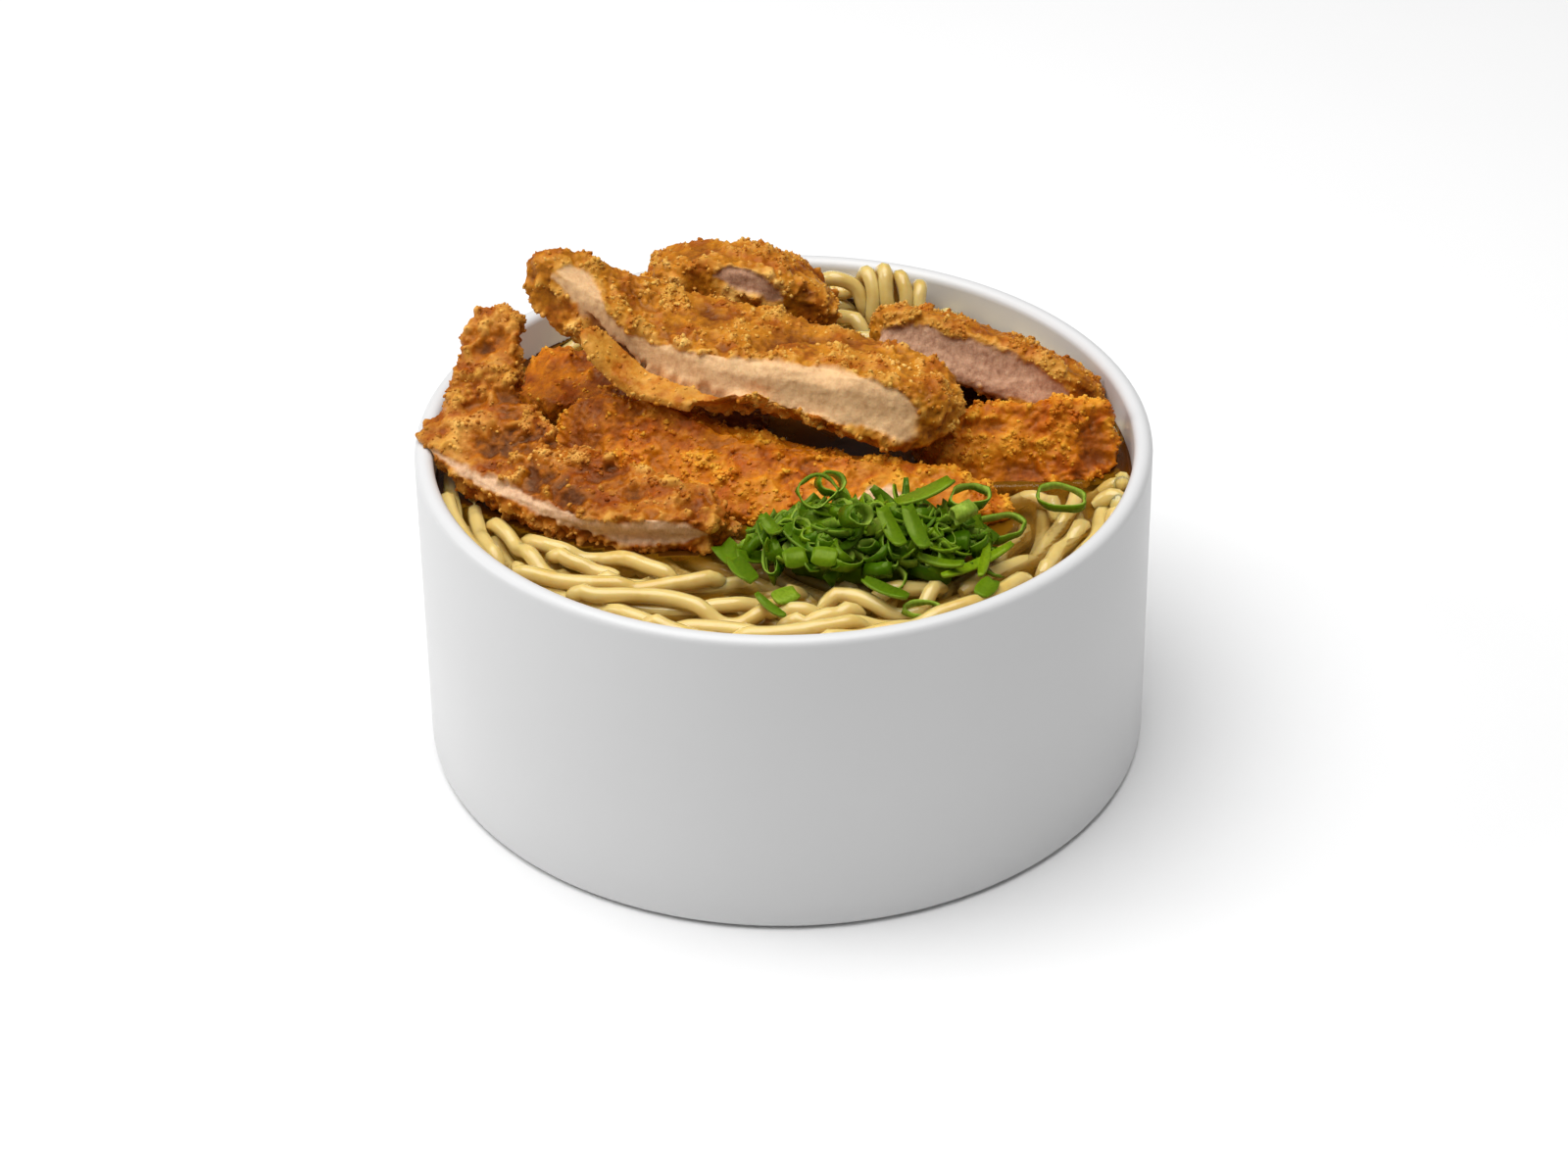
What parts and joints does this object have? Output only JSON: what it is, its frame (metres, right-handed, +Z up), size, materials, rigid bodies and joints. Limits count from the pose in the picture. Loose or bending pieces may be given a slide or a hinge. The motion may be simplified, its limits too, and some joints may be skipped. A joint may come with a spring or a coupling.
{
  "type": "bowl of noodle soup with breaded pork cutlet",
  "caption": "Straight-sided white bowl of clear broth and crinkled noodles, topped with breaded pork strips and a pile of cut spring onion; food and bowl in one part.",
  "frame": {"origin": "middle of the bowl's foot, on the surface that it stands on", "axes": "+Z up; -Y towards the viewer of the picture, the side with the spring onion; +X to the viewer's right"},
  "size_m": [0.156, 0.156, 0.1046],
  "materials": {
    "bowl": "smooth satin white glaze",
    "broth": "clear amber broth, wet and still",
    "noodles": "pale yellow wheat noodles, wet",
    "katsu": "golden-brown breadcrumb crust, a little oily, over pale cooked pork",
    "onion": "fresh green spring onion, moist"
  },
  "bodies": {
    "root": {"bowl": "bowl", "broth": "broth", "noodles": "noodles", "katsu_1": "katsu", "katsu_2": "katsu", "katsu_3": "katsu", "katsu_4": "katsu", "katsu_5": "katsu", "katsu_6": "katsu", "katsu_7": "katsu", "onion_heap": "onion", "onion_leaf_left": "onion", "onion_leaf_front": "onion", "onion_shred_front": "onion", "onion_leaf_middle": "onion", "onion_ring_right": "onion", "onion_shreds_right": "onion", "onion_ring_wall": "onion"}
  },
  "joints": []
}
